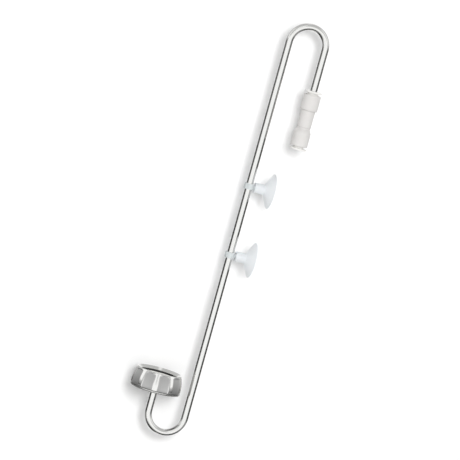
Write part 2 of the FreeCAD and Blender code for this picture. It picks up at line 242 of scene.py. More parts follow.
def rounded(corners, steps=6):
    """A closed outline through (radius, height, fillet) corners in millimetres, as points in metres."""
    points = []
    for i, (radius, height, fillet) in enumerate(corners):
        here = Vector((radius, height)) * MM
        if fillet == 0:
            points.append(here)
            continue
        back = (Vector(corners[i - 1][:2]) * MM - here).normalized()
        onward = (Vector(corners[(i + 1) % len(corners)][:2]) * MM - here).normalized()
        half = back.angle(onward) / 2
        setback = fillet * MM / math.tan(half)
        centre = here + (back + onward).normalized() * (fillet * MM / math.sin(half))
        start = (here + back * setback - centre).normalized()
        end = (here + onward * setback - centre).normalized()
        guard = fillet * MM * 0.15
        points.append(here + back * (setback + guard))
        points += [centre + start.slerp(end, k / steps) * fillet * MM for k in range(steps + 1)]
        points.append(here + onward * (setback + guard))
    return points


def divided(points, first, last, steps):
    """The outline with the run between two of its points cut into equal steps."""
    cuts = [points[first].lerp(points[last], i / steps) for i in range(1, steps)]
    return points[:first + 1] + cuts + points[last:]


def lathe(name, outline, place, columns=96, first_angle=0.0, relief=None, sharp_deg=40):
    """A closed outline of (radius, height) turned about the place's Z axis, with poles closed."""
    skin = bmesh.new()
    rows = []
    for radius, height in outline:
        row = []
        for i in range(columns if radius > 0 else 1):
            angle = first_angle + 2 * math.pi * i / columns
            reach = relief(angle, radius, height) if relief else radius
            row.append(skin.verts.new(
                place @ Vector((reach * math.cos(angle), reach * math.sin(angle), height))))
        rows.append(row)
    for row, after in zip(rows, rows[1:] + rows[:1]):
        for i in range(columns if len(row) + len(after) > 2 else 0):
            corners = (row[i % len(row)], row[(i + 1) % len(row)],
                       after[(i + 1) % len(after)], after[i % len(after)])
            skin.faces.new(list(dict.fromkeys(corners)))
    bmesh.ops.recalc_face_normals(skin, faces=skin.faces)
    mesh = bpy.data.meshes.new(name)
    skin.to_mesh(mesh)
    skin.free()
    mesh.shade_smooth()
    mesh.set_sharp_from_angle(angle=math.radians(sharp_deg))
    return mesh


def thread(start_z, root, crest):
    """The radius of a threaded wall at an angle and height, for a right-hand thread that climbs."""
    def radius_at(angle, radius, height):
        if abs(radius - root) > 0.001 * MM:
            return radius
        part_turn = angle / (2 * math.pi) % 1
        turn = round((height - start_z) / thread_pitch - part_turn)
        along = turn + part_turn
        if not 0 <= along <= thread_turns:
            return radius
        gap = abs(height - start_z - along * thread_pitch)
        share = (thread_base_w / 2 - gap) / (thread_base_w / 2 - thread_crest_w / 2)
        run_out = min(1, along * 12, (thread_turns - along) * 12)
        return root + (crest - root) * max(0, min(1, share)) * run_out
    return radius_at


# Fine-turned stainless steel: rings left by the tool's feed, which draw the light out across them.
turned_stainless, tree = bare_finish("fine_turned_stainless")
place = add(tree, "ShaderNodeMapping", {
    "Vector": add(tree, "ShaderNodeTexCoord").outputs["Object"], "Location": (-head_x, 0, 0)})
flat = add(tree, "ShaderNodeVectorMath", {0: place, 1: (1, 1, 0)}, operation="MULTIPLY")
from_axis = add(tree, "ShaderNodeVectorMath", {0: flat}, operation="LENGTH").outputs["Value"]
height = add(tree, "ShaderNodeSeparateXYZ", {"Vector": place}).outputs["Z"]
feed = add(tree, "ShaderNodeMath", {0: from_axis, 1: height}, operation="ADD")
rings = add(tree, "ShaderNodeTexNoise", {
    "W": feed, "Scale": 1 / lathe_mark_width, "Detail": 2.0}, noise_dimensions="1D")
rough = add(tree, "ShaderNodeMapRange", {
    "Value": rings, "From Min": 0.3, "From Max": 0.7, "To Min": 0.2, "To Max": 0.32})
bump = add(tree, "ShaderNodeBump", {"Height": rings, "Strength": 0.35, "Distance": 0.02 * MM})
skin = add(tree, "ShaderNodeBsdfPrincipled", {
    "Base Color": linear("#C9C9C7"), "Metallic": 1.0, "Roughness": rough, "Normal": bump})
add(tree, "ShaderNodeOutputMaterial", {"Surface": skin})

top = head_top_z / MM
bowl_outline = rounded([
    (18.3, top - 9.0, 0.25), (17.6, top - 9.0, 0.15), (17.6, top - 8.0, 0), (15.0, top - 8.0, 0.2),
    (15.0, top - 14.0, 0.6), (5.0, top - 14.0, 0.5), (5.0, top - 12.6, 0.3), (3.02, top - 12.6, 0.1),
    (3.02, top - 17.9, 0.05), (3.25, top - 17.85, 0), (3.45, top - 17.45, 0), (3.8, top - 17.15, 0),
    (4.3, top - 17.0, 0), (21.8, top - 17.0, 1.25), (21.8, top - 15.3, 0.15), (18.3, top - 15.3, 0),
])
bowl_outline = divided(bowl_outline + [bowl_outline[0]], len(bowl_outline) - 1, len(bowl_outline), 56)[:-1]
fitted(
    "bowl_turned",
    lathe("bowl_turned", bowl_outline, on_head_axis, 160,
          relief=thread(bowl_thread_start_z, 18.3 * MM, bowl_crest_radius)),
    turned_stainless, "satin_steel", "tube", "diffuser_bowl")

# ---- gaskets and ceramic disc ----
# A white sintered disc that splits the gas into fine bubbles, clamped between two flat black rubber rings.
# The disc is pressed and fired, so it is dead matt and full of pores. The rings are cut from sheet.

pore_size = 0.22 * MM
rubber_grain = 0.3 * MM

# Sintered alumina: matt white, with pores drawn at grain size so that they show close to.
sintered_alumina, tree = bare_finish("sintered_alumina")
place = add(tree, "ShaderNodeTexCoord").outputs["Object"]
pores = add(tree, "ShaderNodeTexVoronoi", {"Vector": place, "Scale": 1 / pore_size})
clouds = add(tree, "ShaderNodeTexNoise", {"Vector": place, "Scale": 1 / (4 * MM), "Detail": 4.0})
tint = add(tree, "ShaderNodeMix", {
    "Factor": clouds, 6: linear("#E9E8E3"), 7: linear("#F6F5F2")}, data_type="RGBA")
bump = add(tree, "ShaderNodeBump", {"Height": pores, "Strength": 0.6, "Distance": 0.06 * MM})
skin = add(tree, "ShaderNodeBsdfPrincipled", {
    "Base Color": tint.outputs[2], "Roughness": 0.92, "IOR": 1.6, "Normal": bump})
add(tree, "ShaderNodeOutputMaterial", {"Surface": skin})

# Nitrile rubber: near black, soft sheen, with a faint grain from the sheet it is cut from.
nitrile_rubber, tree = bare_finish("nitrile_rubber")
place = add(tree, "ShaderNodeTexCoord").outputs["Object"]
grain = add(tree, "ShaderNodeTexNoise", {"Vector": place, "Scale": 1 / rubber_grain, "Detail": 3.0})
rough = add(tree, "ShaderNodeMapRange", {"Value": grain, "To Min": 0.42, "To Max": 0.68})
bump = add(tree, "ShaderNodeBump", {"Height": grain, "Strength": 0.3, "Distance": 0.03 * MM})
skin = add(tree, "ShaderNodeBsdfPrincipled", {
    "Base Color": linear("#1B1C1D"), "Roughness": rough, "IOR": 1.52, "Normal": bump})
add(tree, "ShaderNodeOutputMaterial", {"Surface": skin})


def flat_ring(inner, outer, high, low, fillet=0.2):
    """The outline of a flat ring between two depths below the head's top edge."""
    return rounded([
        (outer, top - high, fillet), (inner, top - high, fillet),
        (inner, top - low, fillet), (outer, top - low, fillet)])


fitted(
    "lower_gasket_cut", lathe("lower_gasket_cut", flat_ring(15.8, 17.5, 7.0, 8.0), on_head_axis, 128),
    nitrile_rubber, "black_rubber", "tube", "lower_gasket")
disc_outline = rounded([
    (0, top - 4.0, 0), (0, top - 7.0, 0), (17.5, top - 7.0, 0.3), (17.5, top - 4.0, 0.3)])
fitted(
    "ceramic_disc_fired", lathe("ceramic_disc_fired", disc_outline, on_head_axis, 128),
    sintered_alumina, "sintered_ceramic", "tube", "ceramic_disc")
fitted(
    "upper_gasket_cut", lathe("upper_gasket_cut", flat_ring(15.8, 17.5, 2.45, 3.95), on_head_axis, 128),
    nitrile_rubber, "black_rubber", "clamp_gasket", "upper_gasket")

# ---- clamp ring ----
# A stainless ring that screws down over the disc: a funnel lip above, and ten shallow finger flutes outside.
# It is turned and polished, then the flutes are ground along the wall, which leaves them brushed between
# bright lands.

flute_count = 10
land_angle = math.radians(-104.0)
flute_columns = 44
flute_top = 1.1 * MM
flute_foot = 16.1 * MM
flute_top_cut = 0.7 * MM
flute_foot_cut = 0.95 * MM
flute_cutter_radius = 40.0 * MM
flute_corner = 1.2 * MM
flute_edge_round = 0.1 * MM
ring_crest_radius = 18.5 * MM
ring_thread_start_z = head_top_z + (0.75 - 14.5) * MM
brush_line_width = 0.22 * MM
brush_line_length = 9.0 * MM


def wall_radius(depth):
    """The ring's outer radius in millimetres at a depth below its top edge, down to the belly."""
    return 19.3 + 0.3226 * (depth - 0.3) - 0.01268 * (depth - 0.3) * (depth - 6.5)


# Polished and brushed stainless steel: mirror lands, and flutes that carry grinding lines from top to foot.
fluted_stainless, tree = bare_finish("polished_and_brushed_stainless")
place = add(tree, "ShaderNodeMapping", {
    "Vector": add(tree, "ShaderNodeTexCoord").outputs["Object"], "Location": (-head_x, 0, 0)})
flat = add(tree, "ShaderNodeVectorMath", {0: place, 1: (1, 1, 0)}, operation="MULTIPLY")
spoke = add(tree, "ShaderNodeVectorMath", {0: flat}, operation="NORMALIZE")
rim = add(tree, "ShaderNodeVectorMath", {0: spoke, "Scale": 21 * MM}, operation="SCALE")
height = add(tree, "ShaderNodeVectorMath", {
    0: place, 1: (0, 0, brush_line_width / brush_line_length)}, operation="MULTIPLY")
unrolled = add(tree, "ShaderNodeVectorMath", {0: rim, 1: height}, operation="ADD")
brush = add(tree, "ShaderNodeTexNoise", {
    "Vector": unrolled, "Scale": 1 / brush_line_width, "Detail": 3.0, "Roughness": 0.65})
fluted = add(tree, "ShaderNodeAttribute", attribute_name="fluted").outputs["Fac"]
brushed = add(tree, "ShaderNodeMapRange", {
    "Value": brush, "From Min": 0.3, "From Max": 0.7, "To Min": 0.42, "To Max": 0.56})
rough = add(tree, "ShaderNodeMix", {"Factor": fluted, 2: 0.1, 3: brushed}, data_type="FLOAT")
tint = add(tree, "ShaderNodeMix", {
    "Factor": fluted, 6: linear("#DDDDDB"), 7: linear("#BEBEBD")}, data_type="RGBA")
lift = add(tree, "ShaderNodeMath", {0: brush, 1: fluted}, operation="MULTIPLY")
bump = add(tree, "ShaderNodeBump", {"Height": lift, "Strength": 0.4, "Distance": 0.025 * MM})
skin = add(tree, "ShaderNodeBsdfPrincipled", {
    "Base Color": tint.outputs[2], "Metallic": 1.0, "Roughness": rough, "Normal": bump,
    "Anisotropic": 0.6, "Tangent": add(tree, "ShaderNodeTangent", direction_type="RADIAL", axis="Z")})
add(tree, "ShaderNodeOutputMaterial", {"Surface": skin})

# The outer wall's rows come first, closest together where the flutes begin.
wall_depths = [0.3, 0.5, 0.8, 1.05]
wall_depths += [1.1 + 1.2 * (i / 10) ** 2 for i in range(1, 11)]
wall_depths += [2.3 + 10.7 * i / 27 for i in range(1, 28)]
wall_points = [Vector((wall_radius(d) * MM, (top - d) * MM)) for d in wall_depths]
foot = rounded([(wall_radius(13.0), top - 13.0, 0), (22.05, top - 15.0, 0.35), (19.1, top - 15.0, 0)])
wall_points += [foot[0].lerp(foot[1], i / 4) for i in (1, 2, 3)] + foot[1:-1]
inside = rounded([
    (22.05, top - 15.0, 0), (19.1, top - 15.0, 0.1), (19.1, top - 8.9, 0), (17.8, top - 8.9, 0.15),
    (17.8, top - 2.4, 0.2), (16.0, top - 2.4, 0.12), (16.0, top - 2.0, 0.15), (18.7, top, 0.12),
    (19.0, top, 0.12), (19.3, top - 0.3, 0)])[1:-1]
thread_wall = next(i for i, p in enumerate(inside) if abs(p.y - (top - 8.9) * MM) < 0.001 * MM)
inside = divided(inside, thread_wall - 1, thread_wall, 52)
ring_blank = lathe(
    "clamp_ring_blank", wall_points + inside, on_head_axis, flute_count * flute_columns, land_angle,
    thread(ring_thread_start_z, 19.1 * MM, ring_crest_radius))
outer = ring_blank.attributes.new("outer", "FLOAT", "POINT")
for i in range(len(wall_points) * flute_count * flute_columns):
    outer.data[i].value = 1.0

# Each column of the wall slides sideways until the flute's edge lies on it, then sinks by the grinder's cut.
ring_sizes = {
    "Flutes": flute_count, "Land Angle": land_angle, "Axis X": head_x, "Head Top": head_top_z,
    "Start": flute_top, "Foot": flute_foot, "Top Cut": flute_top_cut, "Foot Cut": flute_foot_cut,
    "Cutter Radius": flute_cutter_radius, "Corner": flute_corner, "Edge Round": flute_edge_round,
    "Finish": fluted_stainless}
tree, given = shape_tree("fluted_wall", ring_sizes)
size = given.outputs
at = add(tree, "ShaderNodeSeparateXYZ", {"Vector": add(tree, "GeometryNodeInputPosition")}).outputs
x = add(tree, "ShaderNodeMath", {0: at["X"], 1: size["Axis X"]}, operation="SUBTRACT")
angle = add(tree, "ShaderNodeMath", {0: at["Y"], 1: x}, operation="ARCTAN2")
spoke = add(tree, "ShaderNodeCombineXYZ", {"X": x, "Y": at["Y"]})
radius = add(tree, "ShaderNodeVectorMath", {0: spoke}, operation="LENGTH").outputs["Value"]
depth = add(tree, "ShaderNodeMath", {0: size["Head Top"], 1: at["Z"]}, operation="SUBTRACT")
half_sector = add(tree, "ShaderNodeMath", {0: math.pi, 1: size["Flutes"]}, operation="DIVIDE")
sector = add(tree, "ShaderNodeMath", {0: half_sector, 1: 2.0}, operation="MULTIPLY")
from_land = add(tree, "ShaderNodeMath", {0: angle, 1: size["Land Angle"]}, operation="SUBTRACT")
in_sector = add(tree, "ShaderNodeMath", {0: from_land, 1: sector, 2: 0.0}, operation="WRAP")
sector_start = add(tree, "ShaderNodeMath", {0: angle, 1: in_sector}, operation="SUBTRACT")
middle = add(tree, "ShaderNodeMath", {0: sector_start, 1: half_sector}, operation="ADD")
aside = add(tree, "ShaderNodeMath", {0: in_sector, 1: half_sector}, operation="SUBTRACT")
share = add(tree, "ShaderNodeMath", {0: aside, 1: half_sector}, operation="DIVIDE")
cut = add(tree, "ShaderNodeMapRange", {
    "Value": depth, "From Min": size["Start"], "From Max": size["Foot"],
    "To Min": size["Top Cut"], "To Max": size["Foot Cut"]})
ring_curve = add(tree, "ShaderNodeMath", {0: 0.5, 1: radius}, operation="DIVIDE")
cutter_curve = add(tree, "ShaderNodeMath", {0: 0.5, 1: size["Cutter Radius"]}, operation="DIVIDE")
curve = add(tree, "ShaderNodeMath", {0: ring_curve, 1: cutter_curve}, operation="ADD")
spread = add(tree, "ShaderNodeMath", {0: cut, 1: curve}, operation="DIVIDE")
half_width = add(tree, "ShaderNodeMath", {0: spread}, operation="SQRT")
half_flute = add(tree, "ShaderNodeMath", {0: half_width, 1: radius}, operation="DIVIDE")
half_land = add(tree, "ShaderNodeMath", {0: half_sector, 1: half_flute}, operation="SUBTRACT")
size_of_share = add(tree, "ShaderNodeMath", {0: share}, operation="ABSOLUTE")
side = add(tree, "ShaderNodeMath", {0: share}, operation="SIGN")
in_flute = add(tree, "ShaderNodeMapRange", {
    "Value": size_of_share, "From Min": 0.0, "From Max": 0.5, "To Min": 0.0, "To Max": half_flute})
on_land = add(tree, "ShaderNodeMapRange", {
    "Value": size_of_share, "From Min": 0.5, "From Max": 1.0, "To Min": 0.0, "To Max": half_land})
offset = add(tree, "ShaderNodeMath", {0: in_flute, 1: on_land}, operation="ADD")
turn = add(tree, "ShaderNodeMath", {0: side, 1: offset, 2: middle}, operation="MULTIPLY_ADD")
begun = add(tree, "ShaderNodeMath", {0: depth, 1: size["Start"]}, operation="SUBTRACT")
begun = add(tree, "ShaderNodeMath", {0: begun, 1: size["Corner"]}, operation="DIVIDE", use_clamp=True)
left = add(tree, "ShaderNodeMath", {0: 1.0, 1: begun}, operation="SUBTRACT")
left = add(tree, "ShaderNodeMath", {0: left, 1: 2.0}, operation="POWER")
ramp = add(tree, "ShaderNodeMath", {0: 1.0, 1: left}, operation="SUBTRACT")
sunk = add(tree, "ShaderNodeMath", {0: cut, 1: ramp}, operation="MULTIPLY")
across = add(tree, "ShaderNodeMath", {0: offset, 1: radius}, operation="MULTIPLY")
across = add(tree, "ShaderNodeMath", {0: across, 1: 2.0}, operation="POWER")
rise = add(tree, "ShaderNodeMath", {0: across, 1: curve}, operation="MULTIPLY")
removed = add(tree, "ShaderNodeMath", {0: sunk, 1: rise}, operation="SUBTRACT")
squared = add(tree, "ShaderNodeMath", {0: removed, 1: removed}, operation="MULTIPLY")
edge = add(tree, "ShaderNodeMath", {0: size["Edge Round"], 1: size["Edge Round"]}, operation="MULTIPLY")
edge = add(tree, "ShaderNodeMath", {0: edge, 1: ramp}, operation="MULTIPLY")
softened = add(tree, "ShaderNodeMath", {0: squared, 1: edge}, operation="ADD")
softened = add(tree, "ShaderNodeMath", {0: softened}, operation="SQRT")
removed = add(tree, "ShaderNodeMath", {0: removed, 1: softened}, operation="ADD")
removed = add(tree, "ShaderNodeMath", {0: removed, 1: 0.5}, operation="MULTIPLY")
is_outer = add(tree, "GeometryNodeInputNamedAttribute", {"Name": "outer"}, data_type="FLOAT")
removed = add(tree, "ShaderNodeMath", {0: removed, 1: is_outer}, operation="MULTIPLY")
new_radius = add(tree, "ShaderNodeMath", {0: radius, 1: removed}, operation="SUBTRACT")
cosine = add(tree, "ShaderNodeMath", {0: turn}, operation="COSINE")
sine = add(tree, "ShaderNodeMath", {0: turn}, operation="SINE")
new_x = add(tree, "ShaderNodeMath", {0: cosine, 1: new_radius, 2: size["Axis X"]}, operation="MULTIPLY_ADD")
new_y = add(tree, "ShaderNodeMath", {0: sine, 1: new_radius}, operation="MULTIPLY")
new_place = add(tree, "ShaderNodeCombineXYZ", {"X": new_x, "Y": new_y, "Z": at["Z"]})
mask = add(tree, "ShaderNodeMapRange", {"Value": removed, "From Min": 0.05 * MM, "From Max": 0.12 * MM})
masked = add(tree, "GeometryNodeStoreNamedAttribute", {
    "Geometry": size["Geometry"], "Name": "fluted", "Value": mask}, data_type="FLOAT", domain="POINT")
close_tree(tree, add(tree, "GeometryNodeSetPosition", {"Geometry": masked, "Position": new_place}), given)
fitted(
    "clamp_ring_fluted", grown("clamp_ring_fluted", ring_blank, tree, ring_sizes), fluted_stainless,
    "satin_steel", "clamp_ring", "clamp_ring")

# ---- tube clips ----
# Clear hard plastic C bands that snap round the tube, each with a barbed shank that carries a cup.
# Each is moulded in one piece. The CAD pieces stay as they are.

# Clear moulded polycarbonate: glassy with a faint cool tint, and slightly softened by the mould's finish.
clear_polycarbonate, tree = bare_finish("clear_moulded_polycarbonate")
place = add(tree, "ShaderNodeTexCoord").outputs["Object"]
flow = add(tree, "ShaderNodeTexNoise", {"Vector": place, "Scale": 1 / (1.6 * MM), "Detail": 2.0})
rough = add(tree, "ShaderNodeMapRange", {"Value": flow, "To Min": 0.08, "To Max": 0.22})
bump = add(tree, "ShaderNodeBump", {"Height": flow, "Strength": 0.12, "Distance": 0.03 * MM})
skin = add(tree, "ShaderNodeBsdfPrincipled", {
    "Base Color": linear("#F2F7F8"), "Roughness": rough, "IOR": 1.58, "Normal": bump,
    "Transmission Weight": 0.5})
add(tree, "ShaderNodeOutputMaterial", {"Surface": skin})


def refinished(finish, *cad_nodes):
    """Give CAD pieces that stay as they are a better finish."""
    for node in cad_nodes:
        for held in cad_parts[node].material_slots:
            held.material = finish


refinished(clear_polycarbonate, "upper_tube_clip", "lower_tube_clip")

# ---- suction cups ----
# Soft milky-clear vinyl cups with a thin rim that lies flat on the glass, and a thick sleeve behind.
# Each is moulded, then pushed over its clip's shank until the barb seats in the sleeve's pocket.

glass_x = 3.6 * MM
cup_heights = {"upper": -139.7 * MM, "lower": -200.2 * MM}

# Soft vinyl: milky rather than clear, with a satin skin from the mould.
soft_vinyl, tree = bare_finish("milky_soft_vinyl")
place = add(tree, "ShaderNodeTexCoord").outputs["Object"]
haze = add(tree, "ShaderNodeTexNoise", {"Vector": place, "Scale": 1 / (3 * MM), "Detail": 3.0})
grain = add(tree, "ShaderNodeTexNoise", {"Vector": place, "Scale": 1 / (0.4 * MM), "Detail": 2.0})
rough = add(tree, "ShaderNodeMapRange", {"Value": haze, "To Min": 0.34, "To Max": 0.44})
bump = add(tree, "ShaderNodeBump", {"Height": grain, "Strength": 0.04, "Distance": 0.005 * MM})
skin = add(tree, "ShaderNodeBsdfPrincipled", {
    "Base Color": linear("#EFF4F9"), "Roughness": rough, "IOR": 1.45, "Normal": bump,
    "Transmission Weight": 0.15, "Subsurface Weight": 0.6, "Subsurface Radius": (1, 1, 1),
    "Subsurface Scale": 5 * MM})
add(tree, "ShaderNodeOutputMaterial", {"Surface": skin})

cup_rim = 15.0
inner_rim = 14.3
cup_hollow_depth = 3.95
hollow_steps = 18
sleeve_radius = 4.35
sleeve_length = 15.0
shank_hole = 2.55
barb_pocket = 3.15
hollow_radius = (inner_rim ** 2 + cup_hollow_depth ** 2) / (2 * cup_hollow_depth)
hollow = []
for i in range(hollow_steps + 1):
    reach = inner_rim * i / hollow_steps
    hollow.append((reach, hollow_radius - cup_hollow_depth - math.sqrt(hollow_radius ** 2 - reach ** 2), 0))
cup_outline = rounded(hollow + [
    (cup_rim, 0, 0.15), (cup_rim, -0.35, 0.17), (inner_rim, -0.7, 0.6), (sleeve_radius, -6.2, 1.2),
    (sleeve_radius, -sleeve_length, 0.5), (shank_hole, -sleeve_length, 0.3), (shank_hole, -9.5, 0),
    (barb_pocket, -9.5, 0.1), (barb_pocket, -7.4, 0.1), (0, -7.4, 0)])
for name, cup_z in cup_heights.items():
    facing_glass = Matrix.Translation((glass_x, 0, cup_z)) @ Matrix.Rotation(math.pi / 2, 4, "Y")
    fitted(
        name + "_cup_moulded", lathe(name + "_cup_moulded", cup_outline, facing_glass, 96),
        soft_vinyl, "clear_pvc", name + "_cup", name + "_suction_cup")

# ---- check valve bodies ----
# Two turned-looking moulded halves that snap together at the neck: the upper holds the tube, the lower
# the hose. Off-white moulded plastic with a soft gloss and small radii on every edge.

on_valve_axis = Matrix.Translation((valve_x, 0, 0))

# Off-white moulded acetal copolymer: satin, a little warm, with a fine spark-eroded grain.
moulded_white, tree = bare_finish("satin_white_moulding")
place = add(tree, "ShaderNodeTexCoord").outputs["Object"]
flow = add(tree, "ShaderNodeTexNoise", {"Vector": place, "Scale": 1 / (7 * MM), "Detail": 2.0})
grain = add(tree, "ShaderNodeTexNoise", {"Vector": place, "Scale": 1 / (0.25 * MM), "Detail": 2.0})
tint = add(tree, "ShaderNodeMix", {
    "Factor": flow, 6: linear("#D1CFCD"), 7: linear("#D9D7D5")}, data_type="RGBA")
# Painted shade: an ambient occlusion mask darkens the colour towards grey brown in the seams, steps and gaps
# between parts.
painted_crease_shade = add(tree, "ShaderNodeAmbientOcclusion", {"Distance": 1.6 * MM}, samples=8).outputs["AO"]
painted_crease_shade = add(tree, "ShaderNodeMapRange", {"Value": painted_crease_shade, "From Min": 0.3, "From Max": 0.85})
tint = add(tree, "ShaderNodeMix", {
    "Factor": painted_crease_shade, 6: linear("#8B8785"), 7: tint.outputs[2]}, data_type="RGBA")
rough = add(tree, "ShaderNodeMapRange", {"Value": grain, "To Min": 0.34, "To Max": 0.5})
bump = add(tree, "ShaderNodeBump", {"Height": grain, "Strength": 0.12, "Distance": 0.03 * MM})
skin = add(tree, "ShaderNodeBsdfPrincipled", {
    "Base Color": tint.outputs[2], "Roughness": rough, "IOR": 1.48, "Normal": bump})
add(tree, "ShaderNodeOutputMaterial", {"Surface": skin})

barrel_radius = 7.4
neck_radius = 6.0
socket_radius = 6.2
seal_seat = 5.2
tube_hole = 3.05
gas_way = 1.8
outlet_outline = rounded([
    (socket_radius, -51.9, 0.25), (barrel_radius, -51.9, 0.35), (barrel_radius, -65.2, 0.45),
    (neck_radius, -65.2, 0.15), (neck_radius, -80.0, 0.25), (4.6, -80.0, 0.15), (4.6, -68.6, 0.2),
    (gas_way, -68.6, 0), (gas_way, -66.2, 0), (tube_hole, -66.2, 0), (tube_hole, -61.9, 0),
    (seal_seat, -61.9, 0), (seal_seat, -58.9, 0), (socket_radius, -58.9, 0)])
fitted(
    "valve_outlet_half", lathe("valve_outlet_half", outlet_outline, on_valve_axis, 96),
    moulded_white, "white_plastic", "check_valve", "valve_outlet_body")
inlet_outline = rounded([
    (4.55, -76.4, 0.12), (4.55, -77.9, 0), (3.75, -77.9, 0), (3.75, -78.9, 0), (4.55, -78.9, 0),
    (4.55, -80.02, 0), (5.8, -80.02, 0.2), (5.8, -81.7, 0.4), (barrel_radius, -84.7, 0.6),
    (barrel_radius, -96.4, 0.35), (socket_radius, -96.4, 0.25), (socket_radius, -89.4, 0),
    (seal_seat, -89.4, 0), (seal_seat, -86.4, 0), (tube_hole, -86.4, 0), (tube_hole, -82.1, 0),
    (gas_way, -82.1, 0), (gas_way, -76.4, 0.1)])
fitted(
    "valve_inlet_half", lathe("valve_inlet_half", inlet_outline, on_valve_axis, 96),
    moulded_white, "white_plastic", "check_valve", "valve_inlet_body")

# ---- collets ----
# A release sleeve in each socket: a flange to press with the fingers and four slit fingers that spread over
# the tube. White acetal, moulded, a shade glossier than the bodies.

finger_half_angle = math.radians(40.0)
finger_steps = 14

# White acetal: cleaner white and smoother than the bodies.
white_acetal, tree = bare_finish("white_acetal")
place = add(tree, "ShaderNodeTexCoord").outputs["Object"]
flow = add(tree, "ShaderNodeTexNoise", {"Vector": place, "Scale": 1 / (2 * MM), "Detail": 3.0})
rough = add(tree, "ShaderNodeMapRange", {"Value": flow, "To Min": 0.24, "To Max": 0.36})
bump = add(tree, "ShaderNodeBump", {"Height": flow, "Strength": 0.08, "Distance": 0.03 * MM})
skin = add(tree, "ShaderNodeBsdfPrincipled", {
    "Base Color": linear("#E9E8E5"), "Roughness": rough, "IOR": 1.48, "Normal": bump})
add(tree, "ShaderNodeOutputMaterial", {"Surface": skin})

finger_radius = 4.65
flange_outline = rounded([
    (tube_hole, 3.2, 0.3), (7.2, 3.2, 0.4), (7.2, 1.8, 0.25), (finger_radius, 1.8, 0.1),
    (finger_radius, -0.5, 0), (tube_hole, -0.5, 0)])
finger_outline = [Vector(p) * MM for p in (
    (tube_hole, -0.4), (finger_radius, -0.4), (finger_radius, -3.25), (5.2, -3.6), (5.2, -3.95),
    (finger_radius, -5.2), (tube_hole, -5.2))]
finger = bmesh.new()
finger_rows = []
for i in range(finger_steps + 1):
    angle = finger_half_angle * (2 * i / finger_steps - 1)
    finger_rows.append([
        finger.verts.new((p.x * math.cos(angle), p.x * math.sin(angle), p.y)) for p in finger_outline])
for row, after in zip(finger_rows, finger_rows[1:]):
    for i in range(len(row)):
        finger.faces.new((row[i - 1], row[i], after[i], after[i - 1]))
finger.faces.new(finger_rows[0])
finger.faces.new(finger_rows[-1])
bmesh.ops.recalc_face_normals(finger, faces=finger.faces)
finger_mesh = bpy.data.meshes.new("collet_finger")
finger.to_mesh(finger_mesh)
finger.free()
finger_sizes = {"Count": 4, "Finish": white_acetal}
tree, given = shape_tree("collet_fingers", finger_sizes)
copies = add(tree, "GeometryNodeMeshLine", {"Count": given.outputs["Count"], "Offset": (0, 0, 0)})
fraction = add(tree, "ShaderNodeMath", {
    0: 2 * math.pi, 1: given.outputs["Count"]}, operation="DIVIDE")
spin = add(tree, "ShaderNodeMath", {
    0: add(tree, "GeometryNodeInputIndex"), 1: fraction}, operation="MULTIPLY")
spun = add(tree, "GeometryNodeInstanceOnPoints", {
    "Points": copies, "Instance": given.outputs["Geometry"],
    "Rotation": add(tree, "ShaderNodeCombineXYZ", {"Z": spin})})
close_tree(tree, spun, given)
fingers = grown("collet_fingers", finger_mesh, tree, finger_sizes)
for side, mouth_z, flip in (("outlet", -51.9 * MM, 0), ("inlet", -96.4 * MM, math.pi)):
    seat = on_valve_axis @ Matrix.Translation((0, 0, mouth_z)) @ Matrix.Rotation(flip, 4, "X")
    name = side + "_collet_sleeve"
    joined = bmesh.new()
    for part in (lathe(name, flange_outline, Matrix.Identity(4), 96), fingers):
        joined.from_mesh(part)
    bmesh.ops.transform(joined, matrix=seat, verts=joined.verts)
    sleeve = bpy.data.meshes.new(name)
    joined.to_mesh(sleeve)
    joined.free()
    sleeve.set_sharp_from_angle(angle=math.radians(40))
    sleeve.materials.clear()
    fitted(name, sleeve, white_acetal, "white_acetal", side + "_collet", side + "_collet")

# ---- inside the check valve ----
# Guide rings and grab rings hold the collets; rubber rings seal the tube, the hose and the halves.
# A sprung plastic poppet lets gas up to the bowl and stops water coming back. The CAD pieces stay as
# they are.

# Spring steel: bright wire and stampings with a cool cast.
spring_steel, tree = bare_finish("bright_spring_steel")
place = add(tree, "ShaderNodeTexCoord").outputs["Object"]
draw = add(tree, "ShaderNodeTexNoise", {"Vector": place, "Scale": 1 / (0.3 * MM), "Detail": 2.0})
rough = add(tree, "ShaderNodeMapRange", {"Value": draw, "To Min": 0.2, "To Max": 0.34})
skin = add(tree, "ShaderNodeBsdfPrincipled", {
    "Base Color": linear("#B9BABB"), "Metallic": 1.0, "Roughness": rough})
add(tree, "ShaderNodeOutputMaterial", {"Surface": skin})

refinished(white_acetal, "outlet_guide_ring", "inlet_guide_ring", "poppet")
refinished(spring_steel, "outlet_grab_ring", "inlet_grab_ring")
refinished(nitrile_rubber, "outlet_tube_seal", "inlet_tube_seal", "valve_joint_seal", "poppet_seal")

spring_low_z = -74.16 * MM
spring_high_z = -68.84 * MM
spring_sizes = {
    "Turns": 5.5, "Mid Radius": 2.6 * MM, "Wire Radius": 0.22 * MM, "Length": spring_high_z - spring_low_z,
    "Finish": spring_steel}
tree, given = shape_tree("coil_spring", spring_sizes)
coil = add(tree, "GeometryNodeCurveSpiral", {
    "Resolution": 40, "Rotations": given.outputs["Turns"], "Start Radius": given.outputs["Mid Radius"],
    "End Radius": given.outputs["Mid Radius"], "Height": given.outputs["Length"]})
coil = add(tree, "GeometryNodeTransform", {"Geometry": coil, "Translation": (valve_x, 0, spring_low_z)})
wire = add(tree, "GeometryNodeCurvePrimitiveCircle", {
    "Resolution": 16, "Radius": given.outputs["Wire Radius"]}, mode="RADIUS")
coil = add(tree, "GeometryNodeCurveToMesh", {"Curve": coil, "Profile Curve": wire, "Fill Caps": True})
close_tree(tree, add(tree, "GeometryNodeSetShadeSmooth", {"Geometry": coil}), given)
nothing = bpy.data.meshes.new("spring_host")
